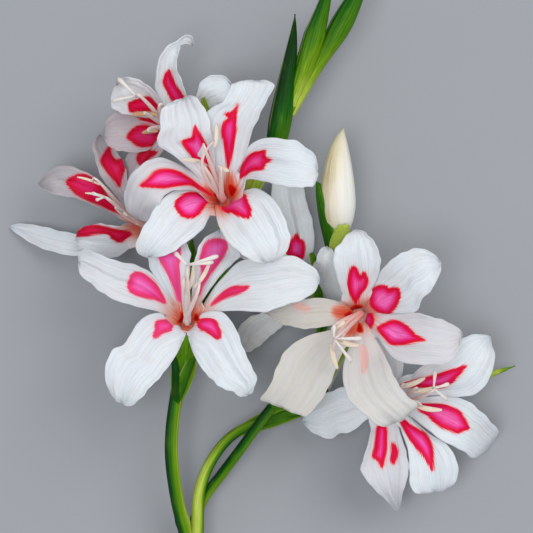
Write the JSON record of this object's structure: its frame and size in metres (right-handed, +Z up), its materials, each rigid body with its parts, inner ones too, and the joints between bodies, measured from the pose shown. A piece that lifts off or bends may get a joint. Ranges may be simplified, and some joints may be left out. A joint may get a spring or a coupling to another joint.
{
  "type": "cut gladiolus spray",
  "caption": "Cut branched gladiolus lying on a surface: white blooms with magenta flames, one cream bud and a green spike tip on green stalks.",
  "frame": {"origin": "middle of the whole spray, on the surface it lies on", "axes": "+Z up from the surface, towards the faces of the blooms; +Y along the stalks, from the cut end to the spike tip; +X to the right, seen from above"},
  "size_m": [0.203, 0.3566, 0.0718],
  "materials": {
    "petal": "satin",
    "stamen": "matte",
    "bud": "satin",
    "stalk": "satin"
  },
  "bodies": {
    "root": {"petals_centre": "petal", "petals_lower_left": "petal", "petals_right": "petal", "petals_lower_right": "petal", "petals_top_left": "petal", "petals_left": "petal", "petals_behind": "petal", "stamens_centre": "stamen", "stamens_lower_left": "stamen", "stamens_right": "stamen", "stamens_lower_right": "stamen", "stamens_top_left": "stamen", "stamens_left": "stamen", "stamens_behind": "stamen", "cream_bud": "bud", "stalks_and_bracts": "stalk"}
  },
  "joints": []
}
